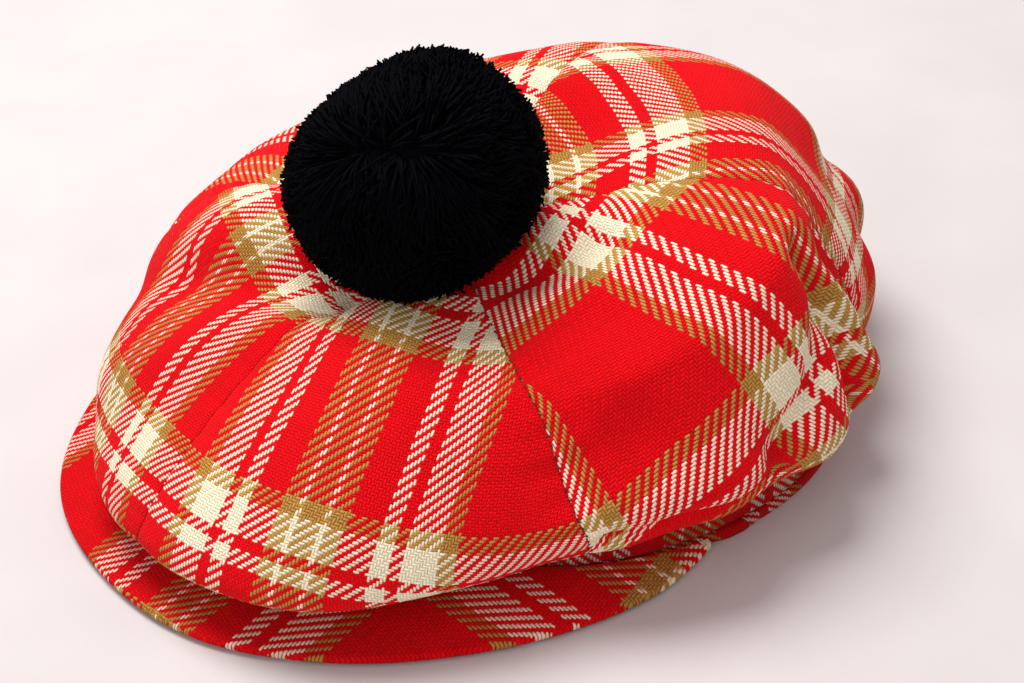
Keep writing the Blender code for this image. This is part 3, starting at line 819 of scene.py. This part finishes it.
def rounded_outline(width, height, radius):
    """Points round a rectangle with rounded corners, from the inner lower corner."""
    outline = []
    corners = ((radius, radius, 180), (width - radius, radius, 270),
               (width - radius, height - radius, 0), (radius, height - radius, 90))
    for x, y, start in corners:
        for step in range(CORNER_STEPS + 1):
            angle = radians(start + 90 * step / CORNER_STEPS)
            outline.append((x + radius * cos(angle), y + radius * sin(angle)))
    outline.append(outline[0])
    return np.array(outline)


def ring_piece(name, bottom, outline, proud, thread_turn):
    """A cloth ring round the head; `proud` is what each azimuth adds to its outer face."""
    azimuth = np.linspace(0, 360, BAND_COLUMNS + 1)
    inner = HEAD_RADIUS * read_column(HEAD_ROWS, 1, azimuth)
    share_out = outline[:, :1] / outline[:, 0].max()
    radius = inner + outline[:, :1] + proud(azimuth) * share_out
    angle = np.radians(azimuth)
    points = np.stack([radius * np.sin(angle), -radius * np.cos(angle),
                       np.broadcast_to(bottom + outline[:, 1:], radius.shape)], -1)
    run = length_along(outline)[:, None] / THREAD
    along = angle * HEAD_RADIUS / THREAD
    threads = np.stack(np.broadcast_arrays(along + run * thread_turn, run + BAND_THREAD), -1)
    piece = grid_piece(name, points, threads)
    close_grid(piece)
    return piece


def band_swell(azimuth):
    return SWELL * np.cos(np.radians(azimuth) * SWELL_COUNT)


def strip_lap(azimuth):
    start = np.clip((azimuth - LAP_AZIMUTH) / LAP_START_SLOPE, 0, 1)
    end = np.clip((LAP_AZIMUTH + LAP_WIDTH - azimuth) / LAP_END_SLOPE, 0, 1)
    return LAP_STEP * np.minimum(start, end)


band_bottom = STRIP_HEIGHT + GAP
band_outline = rounded_outline(BAND_WALL, BAND_TOP - band_bottom, BAND_ROUNDING)
headband = ring_piece("cap_headband", band_bottom, band_outline, band_swell, thread_turn=0.0)
strip_outline = rounded_outline(BAND_WALL + STRIP_PROUD, STRIP_HEIGHT, STRIP_ROUNDING)
strip = ring_piece("cap_band_strip", 0.0, strip_outline, strip_lap, thread_turn=0.35)
# the band's tint is painted shade: the band lies under the crown's overhang
band_cloth = cloth_material("band_cloth", painted_shade_tint=(0.62, 0.60, 0.62, 1.0))
for piece, node in ((headband, "headband"), (strip, "band_strip")):
    piece.data.materials.append(band_cloth)
    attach(piece, "root")
    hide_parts(node)
print("band:", len(headband.data.polygons), "faces")

# %% [markdown]
# ## The peak
# The peak is a stiff crescent covered with the same tartan, cut nearly square to the cap, so a
# wide red square falls on its right front. Its edge is turned and rounded. It could be a board
# with a thickness, but one grid that goes over the top, round the edge and back underneath has
# no seam at the rim, and the pattern wraps round it.

# %% Peak
# azimuth; reach past the head opening as a share of PEAK_LENGTH
PEAK_ROWS = (
    (0.0, 1.00),
    (15.0, 0.96),
    (30.0, 0.785),
    (45.0, 0.58),
    (60.0, 0.405),
    (75.0, 0.255),
    (88.0, 0.095),
)
PEAK_SPREAD = 88.0
PEAK_ROW_STEP = 15.0
PEAK_EDGE_ANGLE = radians(50)           # sharper edges than this stay sharp
PEAK_COLUMNS = 240
PEAK_TOP_ROWS = 40
PEAK_EDGE_ROWS = 8
PEAK_ARCH = 1.4             # how late the peak falls to its edge


def peak_reach(azimuth):
    """Smooth outline through the rows of one side, mirrored at the front."""
    first, last, before_last = PEAK_ROWS[1], PEAK_ROWS[-1], PEAK_ROWS[-2]
    table = np.array(((-first[0], first[1]), *PEAK_ROWS,
                      (last[0] + PEAK_ROW_STEP, 2 * last[1] - before_last[1])))
    angle = np.abs(azimuth)
    before = np.clip(np.searchsorted(table[:, 0], angle, side="right") - 1, 1, len(table) - 3)
    t = (angle - table[before, 0]) / (table[before + 1, 0] - table[before, 0])
    share = smooth_between(*(table[before + k, 1] for k in (-1, 0, 1, 2)), t)
    return HEAD_RADIUS + PEAK_LENGTH * share


# thread at the cap's origin, threads gained to the right and to the back, and how the covering
# is eased: along x, along both, along y
ACROSS_PEAK = (16.4, 1.075, 0.416, -0.00159, -0.00051, 0.00056)
ALONG_PEAK = (-211.0, 0.203, -0.864)


def peak_threads(x, y):
    """Thread numbers of the covering, for a place on the cap counted in threads."""
    start, right, back, bow, shear, ease = ACROSS_PEAK
    across = start + right * x + back * y + bow * x ** 2 + shear * x * y + ease * y ** 2
    start, right, back = ALONG_PEAK
    return np.stack([across, start + right * x + back * y], -1)


def build_peak():
    """The crescent: rows over the top from the band, round the edge, and back underneath."""
    azimuth = np.linspace(-PEAK_SPREAD, PEAK_SPREAD, PEAK_COLUMNS + 1)
    inner = np.maximum(band_outer(azimuth), band_outer(-azimuth)) + STRIP_PROUD + 2 * GAP
    outer = np.maximum(peak_reach(azimuth), inner + GAP)
    rise = PEAK_RISE * (outer - inner) / (PEAK_LENGTH - BAND_WALL - STRIP_PROUD)
    t = np.linspace(0, 1, PEAK_TOP_ROWS + 1)
    half = PEAK_WALL / 2
    reach = (outer - inner)[None, :]
    shrink = np.clip(reach / (4 * half), 0, 1) * half
    radius_top = inner[None, :] + (reach - shrink) * t[:, None]
    height = PEAK_EDGE + rise[None, :] * (1 - t[:, None] ** PEAK_ARCH)
    turn = np.linspace(0, pi, PEAK_EDGE_ROWS + 1)[1:-1]
    radius_edge = radius_top[-1] + shrink * np.sin(turn)[:, None]
    height_edge = height[-1] - half + half * np.cos(turn)[:, None]
    radius = np.concatenate([radius_top, radius_edge, radius_top[::-1], radius_top[:1]])
    level = np.concatenate([height, height_edge, height[::-1] - PEAK_WALL, height[:1]])
    angle = np.radians(azimuth)[None, :]
    points = np.stack([radius * np.sin(angle), -radius * np.cos(angle), level], -1)
    threads = peak_threads(points[..., 0] / THREAD, points[..., 1] / THREAD)
    piece = grid_piece("cap_peak", points[::-1], threads[::-1])
    close_grid(piece, open_ends=True)
    bpy.ops.object.shade_smooth_by_angle(angle=PEAK_EDGE_ANGLE)
    return piece


peak = build_peak()
# the peak's tint is painted shade: the crown shades the peak
peak.data.materials.append(cloth_material("peak_cloth", painted_shade_tint=(0.86, 0.80, 0.80, 1.0)))
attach(peak, "root")
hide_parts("peak")
print("peak:", len(peak.data.polygons), "faces")

# %% [markdown]
# ## The pompom
# A pompom is some thousands of cut ends of thick yarn, all tied at one point in the middle.
# They stand out to a ball, and on this one they part at the upper front and comb down from
# there. One strand is modelled, then copied over the ball, each copy bent its own way. Hair
# curves would be quicker to make, but the exported model needs a real mesh.

# %% Where the ball stands
POMPOM_RADIUS = 0.0390
POMPOM_CENTRE = np.array((0.0055, -0.0462, 0.1040))
PARTING = unit(np.array((0.37, -0.68, 0.63)))
PARTING_RUN = np.array((0.588, 0.809, 0.0))     # the parting is a short line this way
PARTING_FROM, PARTING_TO, PARTING_SAMPLES = -0.10, 0.40, 9
STRANDS = 10300
STRAND_WIDTH = 0.00095
STRAND_SIDES = 3
STRAND_STEPS = 3
STRAND_REACH = 0.14         # from the core's surface to a tip, as a share of the radius
TIP_TAPER = 0.25
CORE_SHARE = 0.87
CORE_CLEARANCE = 0.0012     # between the core and the crown's cloth
COMBED = 0.42               # how far, in radians, the strands lean away beside the parting
COMB_REACH, COMB_FADE = 0.60, 1.5       # how far from it that can be seen, and how it ends
BEND, GROWTH = 1.2, 0.7     # powers by which a strand turns and rises from root to tip
TUFTING, TUFT_SCALE = 0.10, 9.0         # how much whole tufts lean together, and how small they are
# how unlike its neighbours a strand is: in place, in combing, in length and in lean
UNEVEN_ROOT, UNEVEN_COMB, UNEVEN_LENGTH, UNEVEN_LEAN = 0.03, 0.14, 0.016, 0.05
BURIED = 0.004              # a strand whose tip is this far inside the cloth is left out
NEAR_CLOTH = 0.02           # one whose root is this near to it is lifted off the cloth
STRAND_LIFT = 0.6           # in strand widths
SKY = 0.30                  # metres, higher than the cap
# ways in which the ball is pressed in, how far and how wide in radians
FLAT_ROWS = (
    ((-0.72, -0.18, 0.67), 0.20, 0.75),
    ((0.74, 0.25, -0.62), 0.08, 0.60),
)


def ball_reach(ways):
    """Radius of the ball in each direction: it is pressed in above and where it lies down."""
    reach = np.full(ways.shape[:-1], POMPOM_RADIUS)
    for way, depth, width in FLAT_ROWS:
        angle = np.arccos(np.clip(ways @ np.array(way), -1, 1))
        reach = reach * (1 - depth * np.exp(-(angle / width) ** 2))
    return reach


graph = bpy.context.evaluated_depsgraph_get()
cloth_trees = [BVHTree.FromObject(panel, graph) for panel in panels]


def cloth_height(x, y):
    """Height of the crown's cloth under a point."""
    best = 0.0
    for tree in cloth_trees:
        hit = tree.ray_cast(Vector((x, y, SKY)), Vector((0, 0, -1)))[0]
        if hit:
            best = max(best, hit.z)
    return best


# %% The core of the ball
deselect_all()
bpy.ops.mesh.primitive_ico_sphere_add(subdivisions=5, radius=POMPOM_RADIUS * CORE_SHARE,
                                      location=POMPOM_CENTRE)
core = bpy.context.object
bpy.ops.object.transform_apply(location=True, rotation=True, scale=True)
core_points = np.array([v.co[:] for v in core.data.vertices])
core_ways = (core_points - POMPOM_CENTRE) / (POMPOM_RADIUS * CORE_SHARE)
core_points = POMPOM_CENTRE + core_ways * (ball_reach(core_ways) * CORE_SHARE)[:, None]
cloth_below = np.array([cloth_height(x, y) for x, y, z in core_points])
core_points[:, 2] = np.maximum(core_points[:, 2], cloth_below + CORE_CLEARANCE)
core.data.vertices.foreach_set("co", core_points.astype(np.float32).ravel())
core.data.update()

# %% One strand of yarn
deselect_all()
bpy.ops.mesh.primitive_cylinder_add(vertices=STRAND_SIDES, radius=0.5, depth=1.0,
                                    end_fill_type="NGON", location=(0, 0, 0.5))
bpy.ops.object.transform_apply(location=True, rotation=True, scale=True)
bpy.ops.object.mode_set(mode="EDIT")
for step in range(1, STRAND_STEPS):
    bpy.ops.mesh.select_all(action="SELECT")
    bpy.ops.mesh.bisect(plane_co=(0, 0, step / STRAND_STEPS), plane_no=(0, 0, 1))
bpy.ops.object.mode_set(mode="OBJECT")
strand_points, strand_faces = take_apart(bpy.context.object)
print("strand:", len(strand_points), "vertices,", len(strand_faces), "faces")


# %% Copies of the strand, combed over the ball
def spread_directions(count):
    """Directions spread evenly over a ball."""
    i = np.arange(count)
    z = 1 - 2 * (i + 0.5) / count
    ring = np.sqrt(1 - z * z)
    turn = i * pi * (3 - 5 ** 0.5)
    return np.stack([ring * np.cos(turn), ring * np.sin(turn), z], -1)


TUFT_WAVES = (((1.0, 0.3, -0.5), 0.4), ((-0.4, 1.0, 0.6), 2.1), ((0.5, -0.6, 1.0), 4.0))


def combed_strands():
    """Vertices of every strand: each rises from the core and leans off the parting."""
    chance = np.random.default_rng(7)
    roots = unit(spread_directions(STRANDS) + chance.normal(0, UNEVEN_ROOT, (STRANDS, 3)))
    along = np.linspace(PARTING_FROM, PARTING_TO, PARTING_SAMPLES)
    parting_line = unit(PARTING + PARTING_RUN * along[:, None])
    nearest = parting_line[np.argmax(roots @ parting_line.T, axis=1)]
    cosine = (roots * nearest).sum(-1)
    away = unit(roots - nearest * cosine[:, None])
    angle = np.arccos(np.clip(cosine, -1, 1))
    fading = np.exp(-(angle / COMB_REACH) ** COMB_FADE)
    comb = (COMBED + chance.normal(0, UNEVEN_COMB, STRANDS)) * fading
    length = 1.0 + chance.normal(0, UNEVEN_LENGTH, STRANDS)
    tufts = np.stack([np.sin(roots @ np.array(wave) * TUFT_SCALE + phase)
                      for wave, phase in TUFT_WAVES], -1)
    lean = chance.normal(0, UNEVEN_LEAN, (STRANDS, 3))
    sway = np.cross(roots, tufts * TUFTING + lean)
    level = np.rint(strand_points[:, 2] * STRAND_STEPS).astype(int)
    taper = STRAND_WIDTH * (1.0 - TIP_TAPER * (level == STRAND_STEPS))
    section = strand_points[:, :2] * taper[:, None]
    vertices = []
    for i in range(STRANDS):
        line = []
        for step in range(STRAND_STEPS + 1):
            t = step / STRAND_STEPS
            turn = comb[i] * t ** BEND
            way = unit(roots[i] * cos(turn) + away[i] * sin(turn) + sway[i] * t)
            out = ball_reach(way) * length[i] * (CORE_SHARE + STRAND_REACH * t ** GROWTH)
            line.append(POMPOM_CENTRE + way * out)
        line = np.array(line)
        tip_floor = cloth_height(*line[-1][:2])
        if tip_floor - line[-1][2] > BURIED:
            continue
        if tip_floor + STRAND_WIDTH > line[0][2] - NEAR_CLOTH:
            for point in line:
                point[2] = max(point[2], cloth_height(*point[:2]) + STRAND_WIDTH * STRAND_LIFT)
        run = unit(np.gradient(line, axis=0))
        side = unit(np.cross(run, away[i] + sway[i] + 0.3))
        other = np.cross(run, side)
        vertices.append(line[level] + side[level] * section[:, :1] + other[level] * section[:, 1:])
    return vertices


pompom = joined_copies("cap_pompom", combed_strands(), strand_faces)
select_only(pompom)
core.select_set(True)
bpy.ops.object.join()
bpy.ops.object.mode_set(mode="EDIT")
bpy.ops.mesh.select_all(action="SELECT")
bpy.ops.mesh.normals_make_consistent(inside=False)
bpy.ops.object.mode_set(mode="OBJECT")
bpy.ops.object.shade_smooth()
print("pompom:", len(pompom.data.polygons), "faces")


# %% Black yarn
YARN_BLACK, YARN_BLUE = (0.0008, 0.0008, 0.0014, 1.0), (0.0030, 0.0031, 0.0055, 1.0)
YARN_FIBRE = (0.010, 0.010, 0.017, 1.0)
FIBRE_LIMIT, FIBRE_SHARE = 0.64, 0.5    # fibres above this are paler, by this much


def yarn_material():
    """Near-black acrylic yarn, faintly blue, with paler fibres along it."""
    material, tree, shader = new_material("black_yarn")
    place = object_place(tree)
    tufts = noise_value(tree, place, 220.0, 2.0)
    fibres = noise_value(tree, place, 2400.0, 3.0, 0.7)
    colour = blend_colours(tree, tufts, YARN_BLACK, YARN_BLUE)
    light = calculate(tree, "GREATER_THAN", fibres, FIBRE_LIMIT)
    light = calculate(tree, "MULTIPLY", light, FIBRE_SHARE)
    colour = blend_colours(tree, light, colour, YARN_FIBRE)
    feed(tree, shader.inputs["Base Color"], colour)
    roughen(tree, shader, fibres, strength=0.8, distance=0.0003)
    set_inputs(shader, Roughness=0.85, Specular_IOR_Level=0.03)
    return material


pompom.data.materials.clear()
pompom.data.materials.append(yarn_material())
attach(pompom, "root")
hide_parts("pompom")

# %% [markdown]
# ## Floor and light
# The cap lies on a pale floor under a large soft light, high up on the left, so the top is bright,
# the peak under the crown is darker, and the shadow falls softly to the right. A weak second
# light in front and an even sky keep the shaded cloth readable.

# %% Floor
FLOOR_SIZE, FLOOR_HEIGHT = 6.0, -0.0002
FLOOR_DARK, FLOOR_PALE = (0.59, 0.550, 0.550, 1.0), (0.69, 0.660, 0.655, 1.0)
FLOOR_GRAIN = 0.12
deselect_all()
bpy.ops.mesh.primitive_plane_add(size=FLOOR_SIZE, location=(0, 0, FLOOR_HEIGHT))
floor = bpy.context.object
floor.name = "floor"
floor_material, tree, shader = new_material("white_cloth")
place = object_place(tree)
grain = noise_value(tree, place, 420.0, 3.0, 0.6)
waves = noise_value(tree, place, 16.0, 2.0)
feed(tree, shader.inputs["Base Color"], blend_colours(tree, waves, FLOOR_DARK, FLOOR_PALE))
grain = calculate(tree, "MULTIPLY", grain, FLOOR_GRAIN)
roughen(tree, shader, calculate(tree, "ADD", grain, waves), strength=0.35, distance=0.002)
set_inputs(shader, Roughness=0.95)
floor.data.materials.append(floor_material)


# %% Lights
def soft_light(name, place, size, power, colour):
    """A round area light that looks at the middle of the view."""
    deselect_all()
    bpy.ops.object.light_add(type="AREA", location=place)
    light = bpy.context.object
    light.name = name
    light.data.shape = "DISK"
    light.data.size = size
    light.data.energy = power
    light.data.color = colour
    light.rotation_euler = (VIEW_TARGET - Vector(place)).to_track_quat("-Z", "Y").to_euler()


soft_light("window", (-0.46, -0.12, 1.30), 0.85, 19.5, (1.0, 0.985, 0.97))
soft_light("fill", (0.6, -1.3, 0.8), 1.0, 3.5, (1.0, 0.97, 0.96))
world = bpy.data.worlds.new("studio")
world.use_nodes = True
sky = world.node_tree.nodes["Background"]
set_inputs(sky, Color=(1.0, 0.97, 0.975, 1.0), Strength=0.53)
bpy.context.scene.world = world
bpy.context.scene.view_settings.view_transform = "Standard"
